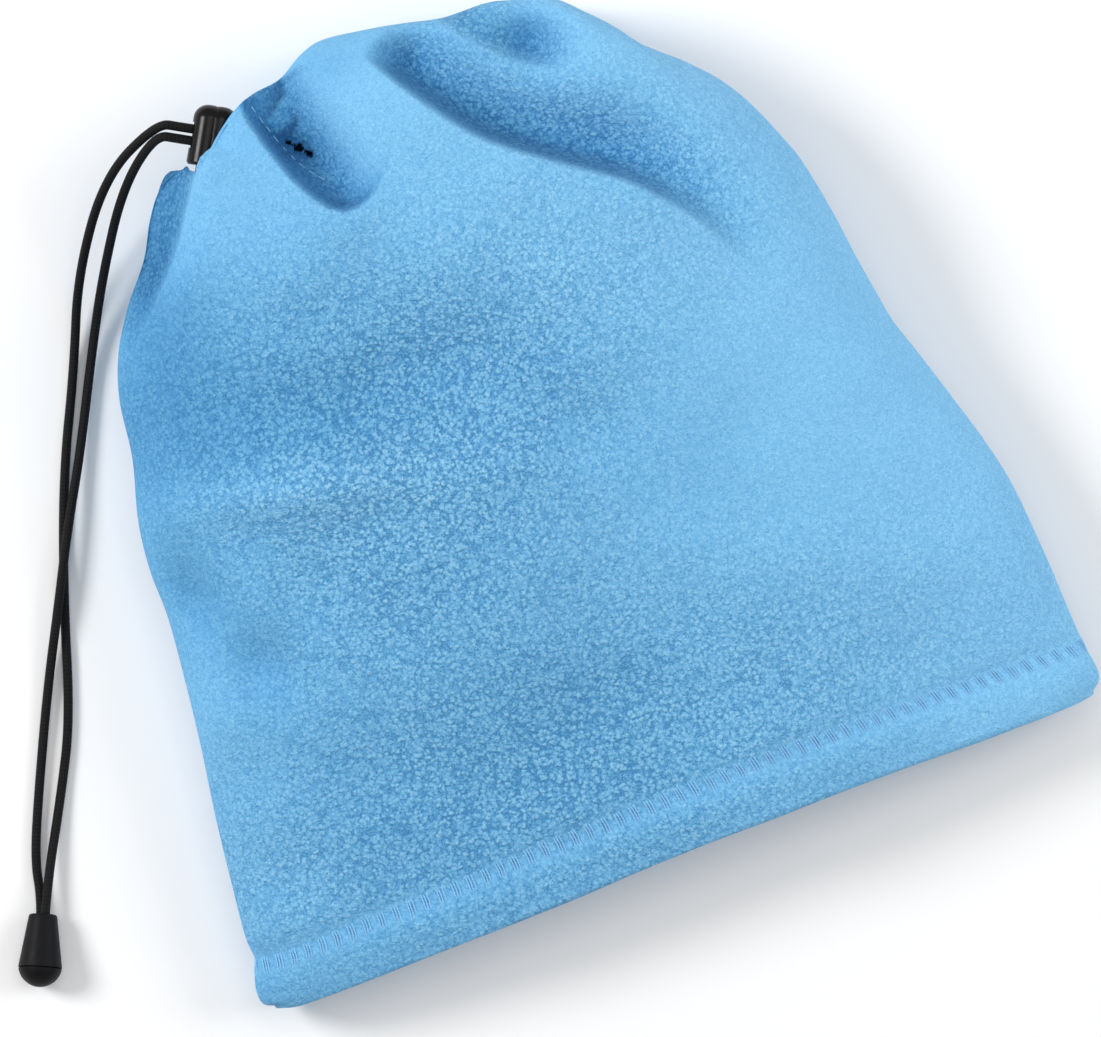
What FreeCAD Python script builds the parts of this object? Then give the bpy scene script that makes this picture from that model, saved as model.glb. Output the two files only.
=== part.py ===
import FreeCAD, Part
import math
import os
from FreeCAD import Placement, Rotation, Vector

# A fleece neck gaiter with a drawcord, lying on its back.
# +X runs along the hem, +Y from the hem to the gathered top and +Z out of the front.
# The origin is under the middle of the gaiter, on the surface it lies on.
os.makedirs("parts", exist_ok=True)
doc = FreeCAD.newDocument("neck_gaiter")
sheet = doc.addObject("Spreadsheet::Sheet", "Sizes")

SIZES = {
    "hem_edge": -133.3,
    "fleece_wall": 2.8,
    "hem_wall": 5.0,
    "hem_depth": 19.0,
    "mouth_overrun": 6.0,
    "cord_width": 2.8,
    "cord_room": 3.4,
    "casing_width": 9.5,
    "gather_tilt": 25.0,
    "gather_length": 29.0,
    "gather_width": 16.0,
    "stitch_band": 5.6,
    "thread_rise": 0.4,
    "thread_width": 0.9,
    "seam_width": 4.0,
    "seam_height": 0.9,
    "seam_length": 210.0,
    "exit_ring": 2.6,
    "lock_lobe": 4.9,
    "lobe_shift": 1.7,
    "lock_closed_end": 9.6,
    "lock_mouth": 8.6,
    "lock_wall": 1.8,
    "lock_round": 4.3,
    "lock_room": 7.6,
    "bore_radius": 3.72,
    "plunger_radius": 3.66,
    "plunger_inner_end": 4.2,
    "plunger_outer_end": 12.8,
    "plunger_round": 2.4,
    "plunger_travel": 2.6,
    "slot_width": 4.4,
    "slot_half": 3.9,
    "window_width": 3.4,
    "window_half": 3.4,
    "strand_spacing": 3.5,
    "spring_wire": 0.5,
    "spring_coil": 2.4,
    "spring_turns": 3.0,
    "spring_gap": 0.05,
    "bell_length": 16.0,
    "bell_neck": 4.2,
    "bell_mouth": 6.6,
    "bell_wall": 1.3,
    "bell_roof": 2.0,
    "bell_hole": 3.2,
    "bell_edge": 0.8,
    "plug_gap": 0.4,
    "plug_radius": 6.5,
    "plug_dome": 5.4,
    "spigot_length": 3.0,
    "spigot_slack": 0.05,
    "knot_ring": 2.0,
    "knot_cord": 1.4,
}

# The fleece's cross-sections from the hem to the tip: distance from the hem edge, reach to the
# left and to the right of the middle, and the lowest and highest point.
STATIONS = {
    "edge": (0.0, 130.0, 130.0, 0.4, 33.0),
    "lip": (8.0, 134.0, 134.0, -1.0, 38.0),
    "seam": (20.0, 131.5, 133.0, -1.0, 39.0),
    "skirt": (62.0, 127.0, 131.0, -1.0, 46.0),
    "middle": (112.0, 120.5, 119.0, -1.0, 54.0),
    "chest": (160.0, 115.0, 109.5, -1.0, 59.0),
    "shoulder": (203.0, 103.0, 97.5, -1.0, 60.0),
    "crown": (228.0, 86.5, 77.5, 0.0, 56.0),
    "gather": (246.0, 65.0, 61.0, 4.0, 45.0),
    "tip": (258.0, 44.0, 36.0, 10.0, 33.0),
    "peak": (266.6, 22.0, 6.0, 15.0, 26.0),
}

row = 1
for name, value in SIZES.items():
    sheet.set("A%d" % row, name)
    sheet.set("B%d" % row, str(value))
    sheet.setAlias("B%d" % row, name)
    row += 1
for station, values in STATIONS.items():
    for part_name, value in zip(("along", "left", "right", "low", "high"), values):
        sheet.set("A%d" % row, station + "_" + part_name)
        sheet.set("B%d" % row, str(value))
        sheet.setAlias("B%d" % row, station + "_" + part_name)
        row += 1
doc.recompute()


def size(name):
    return float(getattr(sheet, name))


def bind(obj, **expressions):
    for prop, expression in expressions.items():
        obj.setExpression(prop, expression)
    return obj


def cylinder(name, radius, height, base="0"):
    obj = doc.addObject("Part::Cylinder", name)
    bind(obj, Radius=radius, Height=height)
    obj.setExpression("Placement.Base.z", base)
    return obj


def cone(name, radius1, radius2, height, base="0"):
    obj = doc.addObject("Part::Cone", name)
    bind(obj, Radius1=radius1, Radius2=radius2, Height=height)
    obj.setExpression("Placement.Base.z", base)
    return obj


def box(name, length, width, height, at=("0", "0", "0")):
    obj = doc.addObject("Part::Box", name)
    bind(obj, Length=length, Width=width, Height=height)
    for axis, expression in zip("xyz", at):
        obj.setExpression("Placement.Base." + axis, expression)
    return obj


def fuse(name, *shapes):
    obj = doc.addObject("Part::MultiFuse", name)
    obj.Shapes = list(shapes)
    obj.Refine = True
    return obj


def cut(name, base, tool):
    obj = doc.addObject("Part::Cut", name)
    obj.Base = base
    obj.Tool = tool
    obj.Refine = True
    return obj


def round_edges(name, base, radius, chosen):
    doc.recompute()
    obj = doc.addObject("Part::Fillet", name)
    obj.Base = base
    edges = base.Shape.Edges
    obj.Edges = [(i + 1, radius, radius) for i, edge in enumerate(edges) if chosen(edge)]
    return obj


def circle_at(height, radius):
    """Says whether an edge is the circle of this radius at this height on the local Z axis."""
    def chosen(edge):
        curve = edge.Curve
        if not hasattr(curve, "Radius"):
            return False
        return abs(curve.Center.z - height) < 0.01 and abs(curve.Radius - radius) < 0.01
    return chosen


# ---------------------------------------------------------------- fleece tube
def section(name, station, inset, overrun="0"):
    """An upright ellipse that spans one station, drawn in by the wall at that station."""
    obj = doc.addObject("Part::Ellipse", name)
    span = "(Sizes.%s_left + Sizes.%s_right) / 2 - %s" % (station, station, inset)
    rise = "(Sizes.%s_high - Sizes.%s_low) / 2 - %s" % (station, station, inset)
    bind(obj, MajorRadius=span, MinorRadius=rise)
    obj.Placement = Placement(Vector(0, 0, 0), Rotation(Vector(1, 0, 0), 90))
    middle = "(Sizes.%s_right - Sizes.%s_left) / 2" % (station, station)
    height = "(Sizes.%s_high + Sizes.%s_low) / 2" % (station, station)
    obj.setExpression("Placement.Base.x", middle)
    obj.setExpression("Placement.Base.y", "Sizes.hem_edge + Sizes.%s_along + %s" % (station, overrun))
    obj.setExpression("Placement.Base.z", height)
    return obj


def loft(name, sections):
    obj = doc.addObject("Part::Loft", name)
    obj.Sections = sections
    obj.Solid = True
    obj.Ruled = False
    return obj


names = list(STATIONS)
outer = loft("outer_skin", [section("outer_" + n, n, "0") for n in names])
inner_sections = [section("mouth_start", "edge", "Sizes.hem_wall", "-Sizes.mouth_overrun")]
inner_sections += [section("inner_" + n, n, "Sizes.hem_wall") for n in ("edge", "lip", "seam")]
inner_sections += [section("inner_" + n, n, "Sizes.fleece_wall") for n in names[3:-1]]
inner = loft("inner_room", inner_sections)


def cord_wire(label, points, reserve=0.45):
    """Straight runs joined by tangent arcs through a list of corner points."""
    edges = []
    last = points[0]
    radii = []
    for before, corner, after in zip(points, points[1:], points[2:]):
        back = before - corner
        ahead = after - corner
        half_turn = (math.pi - back.getAngle(ahead)) / 2
        reach = reserve * min(back.Length, ahead.Length)
        radius = reach / math.tan(half_turn)
        radii.append(radius)
        back.normalize()
        ahead.normalize()
        start = corner + back * reach
        end = corner + ahead * reach
        inward = (back + ahead).normalize()
        middle = corner + inward * (radius / math.cos(half_turn) - radius)
        edges.append(Part.LineSegment(last, start).toShape())
        edges.append(Part.Arc(start, middle, end).toShape())
        last = end
    edges.append(Part.LineSegment(last, points[-1]).toShape())
    wire = Part.Wire(edges)
    print("%s length %.1f mm, bend radii %s" % (label, wire.Length, [round(r, 1) for r in radii]))
    return wire


def tube(name, points, diameter, left_out=0):
    """A round tube along a cord route, its diameter bound to the sheet.

    left_out is how many of the route's lines and arcs the tube leaves bare at each end.
    """
    path = doc.addObject("Part::Feature", name + "_path")
    edges = cord_wire(name, points).Edges
    path.Shape = Part.Wire(edges[left_out:len(edges) - left_out])
    first = path.Shape.Edges[0]
    start = first.valueAt(first.FirstParameter)
    heading = first.tangentAt(first.FirstParameter)
    ring = doc.addObject("Part::Circle", name + "_ring")
    bind(ring, Radius="Sizes.%s / 2" % diameter)
    ring.Placement = Placement(start, Rotation(Vector(0, 0, 1), heading))
    sweep = doc.addObject("Part::Sweep", name + "_sweep")
    sweep.Sections = [ring]
    sweep.Spine = (path, ["Edge%d" % (i + 1) for i in range(len(path.Shape.Edges))])
    sweep.Solid = True
    sweep.Frenet = False
    doc.recompute()
    wanted = path.Shape.Length * math.pi * size(diameter) ** 2 / 4
    print("%s tube volume %.1f of %.1f mm3" % (name, sweep.Shape.Volume, wanted))
    return sweep


# ---------------------------------------------------------------- where the lock and the bell are
LOCK_CENTRE = Vector(-55.5, 117.5, 40.0)
LOCK_AXIS = Vector(-0.5, -math.sqrt(0.75), 0)
LOCK_OUT = Vector(-math.sqrt(0.75), 0.5, 0)
LOCK_DOWN = Vector(0, 0, -1)
lock_frame = Placement(LOCK_CENTRE, Rotation(LOCK_OUT, LOCK_DOWN, LOCK_AXIS, "ZXY"))
STRAND_OFFSET = LOCK_AXIS * -size("strand_spacing") / 2
# How far out along the cords the lock can run before they bend.
LOCK_RUN = 5

BELL_TOP_X = -186.2
BELL_TOP_Y = -79.9
bell_heading = math.radians(246.4)
bell_lean = math.asin((size("bell_mouth") - size("bell_neck")) / size("bell_length"))
BELL_AXIS = Vector(
    math.cos(bell_heading) * math.cos(bell_lean),
    math.sin(bell_heading) * math.cos(bell_lean),
    math.sin(bell_lean),
)
BELL_SIDE = Vector(-math.sin(bell_heading), math.cos(bell_heading), 0)
BELL_RISE = BELL_AXIS.cross(BELL_SIDE)
BELL_TOP = Vector(BELL_TOP_X, BELL_TOP_Y, size("bell_neck") / math.cos(bell_lean) + 0.02)
bell_frame = Placement(BELL_TOP, Rotation(BELL_SIDE, BELL_RISE, BELL_AXIS, "ZXY"))
PAIR_OFFSET = BELL_SIDE * 0.65 + BELL_RISE * 1.35
KNOT_START = 6.0
BELL_APPROACH = -8.0

# ---------------------------------------------------------------- the cord's three stretches
strand_a = LOCK_CENTRE + STRAND_OFFSET
strand_b = LOCK_CENTRE - STRAND_OFFSET
loop_points = [
    strand_a,
    strand_a - LOCK_OUT * 16,
    Vector(-24, 122.5, 34),
    Vector(-10, 111, 39),
    Vector(-10, 88, 49),
    Vector(-21, 75, 53.5),
    Vector(-36, 82, 51),
    Vector(-44, 100, 44),
    strand_b - LOCK_OUT * 13,
    strand_b,
]
FLOOR = 1.45
tail_a_points = [
    strand_a,
    strand_a + LOCK_OUT * 17,
    Vector(-90, 119, 25),
    Vector(-108.5, 95, 8.5),
    Vector(-119.5, 70, FLOOR),
    Vector(-133.5, 42, FLOOR),
    Vector(-146.5, 8, FLOOR),
    Vector(-158, -28, FLOOR),
    Vector(-169, -49, FLOOR),
    BELL_TOP + BELL_AXIS * BELL_APPROACH + PAIR_OFFSET,
    BELL_TOP + BELL_AXIS * KNOT_START + PAIR_OFFSET,
]
tail_b_points = [
    strand_b,
    strand_b + LOCK_OUT * 17,
    Vector(-86, 114, 26),
    Vector(-101, 93, 10),
    Vector(-112, 74, 2.5),
    Vector(-127, 45, 3.0),
    Vector(-138, 26, 5.3),
    Vector(-149, 5, 5.3),
    Vector(-161, -17, 2.0),
    Vector(-175, -46, FLOOR),
    Vector(-183, -64, FLOOR),
    BELL_TOP - BELL_AXIS * 4 - PAIR_OFFSET,
    BELL_TOP + BELL_AXIS * KNOT_START - PAIR_OFFSET,
]
loop_sweep = tube("drawcord_loop", loop_points, "cord_width")
tail_a_sweep = tube("drawcord_tail_a", tail_a_points, "cord_width")
tail_b_sweep = tube("drawcord_tail_b", tail_b_points, "cord_width")
casing = tube("casing_bead", loop_points, "casing_width", 2)
channel = tube("casing_channel", loop_points, "cord_room")

# ---------------------------------------------------------------- cutting the fleece
gather_plane = Rotation(Vector(1, 0, 0), -size("gather_tilt"))
gather_turn = Rotation(Vector(0, 0, 1), 112.5)
hole_ends = []
for side in (-1, 1):
    end = cylinder("gather_end_%s" % ("low" if side < 0 else "high"), "Sizes.gather_width / 2", "60")
    end.setExpression("Placement.Base.x", "%d * (Sizes.gather_length - Sizes.gather_width) / 2" % side)
    end.setExpression("Placement.Base.z", "-25")
    hole_ends.append(end)
hole_middle = box(
    "gather_middle", "Sizes.gather_length - Sizes.gather_width", "Sizes.gather_width", "60",
    ("-(Sizes.gather_length - Sizes.gather_width) / 2", "-Sizes.gather_width / 2", "-25"),
)
gather_hole = fuse("gather_hole", hole_ends[0], hole_ends[1], hole_middle)
gather_hole.Placement = Placement(Vector(-28, 99.5, 46.5), gather_plane * gather_turn)
lock_rooms = []
for name, shift in (("lock_room_cut", 0), ("lock_run_cut", LOCK_RUN)):
    room = cylinder(name, "Sizes.lock_room", "30")
    room.setExpression("Placement.Base.z", None)
    room.Placement = Placement(
        LOCK_CENTRE + LOCK_AXIS * -13 + LOCK_OUT * shift, lock_frame.Rotation,
    )
    lock_rooms.append(room)
surface_trim = box("surface_trim", "400", "400", "20", ("-200", "-200", "-20"))

shell = cut("shell", outer, inner)
shell_with_casing = fuse("shell_with_casing", shell, casing)
with_hole = cut("shell_with_hole", shell_with_casing, gather_hole)
with_channel = cut("shell_with_channel", with_hole, channel)
with_lock_room = cut("shell_with_lock_room", with_channel, lock_rooms[0])
with_lock_run = cut("shell_with_lock_run", with_lock_room, lock_rooms[1])
fleece = cut("fleece_tube", with_lock_run, surface_trim)

# ---------------------------------------------------------------- stitching
band_half = "Sizes.stitch_band / 2"


def band_section(name, shift, grow):
    return section(name, "seam", "(-1 * Sizes.thread_rise)" if grow else "Sizes.thread_rise", shift)


band_out = loft("hem_band_outside", [
    band_section("band_out_low", "-" + band_half, True),
    band_section("band_out_high", band_half, True),
])
band_in = loft("hem_band_inside", [
    band_section("band_in_low", "-" + band_half + " - 1", False),
    band_section("band_in_high", band_half + " + 1", False),
])
band_trim = box("band_trim", "400", "400", "20", ("-200", "-200", "-20 + 0.05"))
hem_ring = cut("hem_ring", band_out, band_in)
hem_stitching = cut("hem_stitching", hem_ring, band_trim)

CASING_STITCH_CENTRE = Vector(-26.5, 99.5, 0)
casing_stitch_points = []
for corner in loop_points[2:8]:
    outward = Vector(corner.x, corner.y, 0) - CASING_STITCH_CENTRE
    outward.normalize()
    casing_stitch_points.append(corner + outward * 4.0 + Vector(0, 0, -2.2))
casing_stitching = tube("casing_stitching", casing_stitch_points, "thread_width")
back_seam = box(
    "back_seam_stitching", "Sizes.seam_width", "Sizes.seam_length", "Sizes.seam_height",
    ("-Sizes.seam_width / 2", "Sizes.hem_edge + Sizes.hem_depth + 4", "Sizes.fleece_wall - 1.3"),
)
exit_rings = []
casing_edges = casing.Spine[0].Shape.Edges
for letter, edge, at_start in (("a", casing_edges[0], True), ("b", casing_edges[-1], False)):
    place = edge.FirstParameter if at_start else edge.LastParameter
    ring = doc.addObject("Part::Torus", "cord_exit_stitching_" + letter)
    bind(ring, Radius1="Sizes.exit_ring", Radius2="Sizes.thread_width / 2")
    ring.Placement = Placement(edge.valueAt(place), Rotation(Vector(0, 0, 1), edge.tangentAt(place)))
    exit_rings.append(ring)

# ---------------------------------------------------------------- cord lock
lobes = []
for name, side in (("left", "-"), ("right", "")):
    lobe = cylinder(
        "lobe_" + name, "Sizes.lock_lobe", "Sizes.lock_closed_end + Sizes.lock_mouth",
        "-Sizes.lock_closed_end",
    )
    closed = round_edges(
        "lobe_round_" + name, lobe, size("lock_round"),
        circle_at(-size("lock_closed_end"), size("lock_lobe")),
    )
    lip = round_edges(
        "lobe_lip_" + name, closed, 0.9, circle_at(size("lock_mouth"), size("lock_lobe")),
    )
    lip.setExpression("Placement.Base.x", side + "Sizes.lobe_shift")
    lobes.append(lip)
barrel_outer = fuse("barrel_outer", *lobes)
bore = cylinder(
    "barrel_bore", "Sizes.bore_radius",
    "Sizes.lock_closed_end - Sizes.lock_wall + Sizes.lock_mouth + 1",
    "-Sizes.lock_closed_end + Sizes.lock_wall",
)
cord_slot = box(
    "barrel_cord_slot", "30", "Sizes.slot_width", "2 * Sizes.slot_half",
    ("-15", "-Sizes.slot_width / 2", "-Sizes.slot_half"),
)
barrel_bored = cut("barrel_bored", barrel_outer, bore)
barrel = cut("cord_lock_barrel", barrel_bored, cord_slot)

plunger_rod = cylinder(
    "plunger_rod", "Sizes.plunger_radius", "Sizes.plunger_inner_end + Sizes.plunger_outer_end",
    "-Sizes.plunger_inner_end",
)
plunger_domed = round_edges(
    "plunger_domed", plunger_rod, size("plunger_round"),
    circle_at(size("plunger_outer_end"), size("plunger_radius")),
)
window = box(
    "plunger_window", "30", "Sizes.window_width", "2 * Sizes.window_half + Sizes.plunger_travel",
    ("-15", "-Sizes.window_width / 2", "-Sizes.window_half"),
)
plunger = cut("cord_lock_plunger", plunger_domed, window)

# The spring is a tube too: its route turns this many corners in each coil.
SPRING_CORNERS = 8
spring_height = (size("lock_closed_end") - size("lock_wall") - size("plunger_inner_end")
                 - size("spring_wire") - 2 * size("spring_gap"))
spring_steps = int(size("spring_turns") * SPRING_CORNERS)
spring_reach = size("spring_coil") / math.cos(math.pi / SPRING_CORNERS)
spring_points = []
for step in range(spring_steps + 1):
    angle = 2 * math.pi * step / SPRING_CORNERS
    spring_points.append(Vector(
        spring_reach * math.cos(angle),
        spring_reach * math.sin(angle),
        spring_height * step / spring_steps,
    ))
spring = tube("cord_lock_spring", spring_points, "spring_wire")

# ---------------------------------------------------------------- bell cord end
bell_skin = cone("bell_skin", "Sizes.bell_neck", "Sizes.bell_mouth", "Sizes.bell_length")
bell_soft = round_edges("bell_soft", bell_skin, size("bell_edge"), circle_at(0, size("bell_neck")))
bell_room = cone(
    "bell_room", "Sizes.bell_neck - Sizes.bell_wall / 2", "Sizes.bell_mouth - Sizes.bell_wall",
    "Sizes.bell_length - Sizes.bell_roof", "Sizes.bell_roof",
)
bell_hole = cylinder("bell_hole", "Sizes.bell_hole", "Sizes.bell_roof + 2", "-1")
bell_hollow = cut("bell_hollow", bell_soft, bell_room)
bell = cut("cord_end_bell", bell_hollow, bell_hole)

# The plug's face is a cap cut from a ball.
ball = "((Sizes.plug_radius ^ 2 + Sizes.plug_dome ^ 2) / (2 * Sizes.plug_dome))"
plug_cap = doc.addObject("Part::Sphere", "plug_cap")
bind(plug_cap, Radius=ball, Angle1="asin(1 - Sizes.plug_dome / %s)" % ball)
plug_cap.setExpression(
    "Placement.Base.z", "Sizes.bell_length + Sizes.plug_gap + Sizes.plug_dome - " + ball,
)
# The spigot is tapered like the bell's inside, so that it is free as soon as it moves out.
slope = "(Sizes.bell_mouth - Sizes.bell_wall / 2 - Sizes.bell_neck) / (Sizes.bell_length - Sizes.bell_roof)"
spigot_end = "Sizes.bell_mouth - Sizes.bell_wall - Sizes.spigot_slack"
spigot = cone(
    "plug_spigot", spigot_end + " - Sizes.spigot_length * " + slope, spigot_end,
    "Sizes.spigot_length", "Sizes.bell_length - Sizes.spigot_length",
)
spigot_neck = cylinder(
    "plug_neck", spigot_end, "Sizes.plug_gap + 0.2", "Sizes.bell_length - 0.01",
)
plug = fuse("cord_end_plug", plug_cap, spigot, spigot_neck)

# The two cord ends are tied together: three turns of cord around each other.
turns = []
for i, (shift_x, shift_y, tilt) in enumerate(((0.5, 0.2, 14), (-0.4, -0.3, -16), (0.2, 0.0, 10))):
    turn = doc.addObject("Part::Torus", "knot_turn_%d" % (i + 1))
    bind(turn, Radius1="Sizes.knot_ring", Radius2="Sizes.knot_cord")
    turn.Placement = Placement(
        Vector(shift_x, shift_y, KNOT_START + 1.6 + 1.45 * i),
        Rotation(Vector(1, 0.5, 0), tilt),
    )
    turns.append(turn)
knot = fuse("cord_knot", *turns)

doc.recompute()

for obj in (barrel, plunger):
    obj.Placement = lock_frame
for obj in (bell, plug, knot):
    obj.Placement = bell_frame
spring_base = -(size("lock_closed_end") - size("lock_wall")) + size("spring_gap") + size("spring_wire") / 2
spring.Placement = lock_frame * Placement(Vector(0, 0, spring_base), Rotation())
doc.recompute()

NODES = {
    "fleece_tube": fleece,
    "hem_stitching": hem_stitching,
    "casing_stitching": casing_stitching,
    "back_seam_stitching": back_seam,
    "cord_exit_stitching_a": exit_rings[0],
    "cord_exit_stitching_b": exit_rings[1],
    "drawcord_loop": loop_sweep,
    "drawcord_tail_a": tail_a_sweep,
    "drawcord_tail_b": tail_b_sweep,
    "cord_knot": knot,
    "cord_end_bell": bell,
    "cord_end_plug": plug,
    "cord_lock_barrel": barrel,
    "cord_lock_plunger": plunger,
    "cord_lock_spring": spring,
}
for obj in doc.Objects:
    if "Invalid" in obj.State or "Error" in obj.State:
        raise RuntimeError("%s: %s" % (obj.Name, obj.State))
for node, obj in NODES.items():
    obj.Label = node
    shape = obj.Shape
    if shape.isNull() or not shape.isValid():
        raise RuntimeError(node + " is not a valid shape")
    if len(shape.Solids) != 1:
        raise RuntimeError("%s has %d solids" % (node, len(shape.Solids)))
    shape.exportStep("parts/%s.step" % node)
    limits = shape.optimalBoundingBox()
    print("%-20s %9.1f mm3  x %.1f %.1f  y %.1f %.1f  z %.2f %.2f" % (
        node, shape.Volume, limits.XMin, limits.XMax, limits.YMin, limits.YMax, limits.ZMin, limits.ZMax,
    ))
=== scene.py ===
import math

import bpy
import numpy as np
from mathutils import Matrix, Vector


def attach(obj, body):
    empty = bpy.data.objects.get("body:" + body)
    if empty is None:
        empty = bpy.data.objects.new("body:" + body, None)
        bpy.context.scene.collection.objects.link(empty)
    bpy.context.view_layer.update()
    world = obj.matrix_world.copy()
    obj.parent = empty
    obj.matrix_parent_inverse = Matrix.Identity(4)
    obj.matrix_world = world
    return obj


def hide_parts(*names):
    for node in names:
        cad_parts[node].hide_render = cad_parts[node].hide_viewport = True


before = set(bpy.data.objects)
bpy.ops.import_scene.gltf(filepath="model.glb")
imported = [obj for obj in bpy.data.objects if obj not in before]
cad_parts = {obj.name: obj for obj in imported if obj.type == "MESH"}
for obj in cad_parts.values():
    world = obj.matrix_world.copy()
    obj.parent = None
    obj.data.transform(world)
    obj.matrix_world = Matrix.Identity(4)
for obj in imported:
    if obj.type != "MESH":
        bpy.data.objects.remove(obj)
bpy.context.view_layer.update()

# A fleece neck gaiter lying on its back. Lengths are in millimetres until a mesh is made;
# lamps and materials are in metres.
MM = 0.001
random = np.random.default_rng(11)

# ---------------------------------------------------------------- camera, lights and floor
# The photograph looks straight at the front, with the hem turned up to the right by this much.
PHOTO_TURN = math.radians(-20.8)
PHOTO_WIDTH = 328.7
PHOTO_CENTRE = (-2.1, -23.0)
LENS = 300.0
SENSOR = 36.0
FOCUS_HEIGHT = 12.0

right = Vector((math.cos(PHOTO_TURN), math.sin(PHOTO_TURN), 0.0))
up = Vector((-math.sin(PHOTO_TURN), math.cos(PHOTO_TURN), 0.0))
camera_data = bpy.data.cameras.new("camera")
camera_data.lens = LENS
camera_data.sensor_width = SENSOR
camera_data.clip_end = 20.0
camera = bpy.data.objects.new("camera", camera_data)
bpy.context.scene.collection.objects.link(camera)
camera_height = PHOTO_WIDTH * LENS / SENSOR + FOCUS_HEIGHT
camera.matrix_world = Matrix((
    (right.x, up.x, 0.0, PHOTO_CENTRE[0] * MM),
    (right.y, up.y, 0.0, PHOTO_CENTRE[1] * MM),
    (0.0, 0.0, 1.0, camera_height * MM),
    (0.0, 0.0, 0.0, 1.0),
))
bpy.context.scene.camera = camera


def area_light(name, across, upward, height, size, power):
    """A soft lamp placed by the photograph's own left-right and up-down, aimed at the gaiter."""
    data = bpy.data.lights.new(name, "AREA")
    data.shape = "DISK"
    data.size = size
    data.energy = power
    lamp = bpy.data.objects.new(name, data)
    lamp.location = right * across + up * upward + Vector((0.0, 0.0, height))
    lamp.rotation_euler = (-lamp.location).to_track_quat("-Z", "Y").to_euler()
    bpy.context.scene.collection.objects.link(lamp)


bpy.context.scene.view_settings.view_transform = "Standard"
# name, then how far across, up and above the gaiter, size, and power in watts
LAMPS = [
    ("key", -1.3, 0.35, 1.05, 0.6, 18.0),
    ("fill", 1.3, 0.3, 1.0, 1.0, 10.0),
    ("top", 0.1, 0.4, 1.9, 1.2, 6.0),
]
for lamp in LAMPS:
    area_light(*lamp)
ROOM_LIGHT = 0.42
world = bpy.data.worlds.new("studio")
world.use_nodes = True
world.node_tree.nodes["Background"].inputs["Color"].default_value = (1.0, 1.0, 1.0, 1.0)
world.node_tree.nodes["Background"].inputs["Strength"].default_value = ROOM_LIGHT
bpy.context.scene.world = world


# ---------------------------------------------------------------- materials
class Nodes:
    """A small helper that adds shader nodes. A source is a (node, output) pair."""

    def __init__(self, name):
        self.material = bpy.data.materials.new(name)
        self.material.use_nodes = True
        self.tree = self.material.node_tree
        self.shader = self.tree.nodes["Principled BSDF"]
        self.where = (self.add("ShaderNodeTexCoord"), "Object")

    def add(self, kind, **settings):
        """A node; each setting is one of its properties or the value of an input."""
        node = self.tree.nodes.new(kind)
        for key, value in settings.items():
            if hasattr(node, key):
                setattr(node, key, value)
            else:
                node.inputs[key.replace("_", " ")].default_value = value
        return node

    def link(self, source, target, into):
        self.tree.links.new(source[0].outputs[source[1]], target.inputs[into])

    def maths(self, operation, *operands):
        """A Math node: each operand is a number or a source."""
        node = self.add("ShaderNodeMath", operation=operation)
        for slot, operand in enumerate(operands):
            if isinstance(operand, tuple):
                self.link(operand, node, slot)
            else:
                node.inputs[slot].default_value = operand
        return (node, 0)

    def ramp(self, source, stops):
        """A colour ramp: each stop is a place and a colour."""
        node = self.add("ShaderNodeValToRGB")
        elements = node.color_ramp.elements
        while len(elements) < len(stops):
            elements.new(0.5)
        for element, (place, colour) in zip(elements, stops):
            element.position = place
            element.color = (*colour, 1.0)
        self.link(source, node, 0)
        return (node, 0)

    def multiplied(self, first, second):
        """Two colours multiplied together."""
        node = self.add("ShaderNodeMixRGB", blend_type="MULTIPLY")
        node.inputs[0].default_value = 1.0
        self.link(first, node, 1)
        self.link(second, node, 2)
        return (node, 0)

    def noise(self, scale, detail=2.0, roughness=0.5):
        """Noise over the object, with about this many swells to the metre."""
        node = self.add("ShaderNodeTexNoise", Scale=scale, Detail=detail, Roughness=roughness)
        self.link(self.where, node, "Vector")
        return (node, 0)

    def bump(self, height, distance, strength=1.0, under=None):
        """A bump as deep as the distance in metres, laid on the bump under it."""
        node = self.add("ShaderNodeBump", Distance=distance, Strength=strength)
        self.link(height, node, "Height")
        if under is not None:
            self.link(under, node, "Normal")
        return (node, 0)

    def finish(self, colour, normal=None, **values):
        """Plugs in the colour and the bump, sets the shader's other values, gives the material."""
        self.link(colour, self.shader, "Base Color")
        if normal is not None:
            self.link(normal, self.shader, "Normal")
        for key, value in values.items():
            self.shader.inputs[key.replace("_", " ")].default_value = value
        return self.material


def grey(value):
    return (value, value, value)


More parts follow.
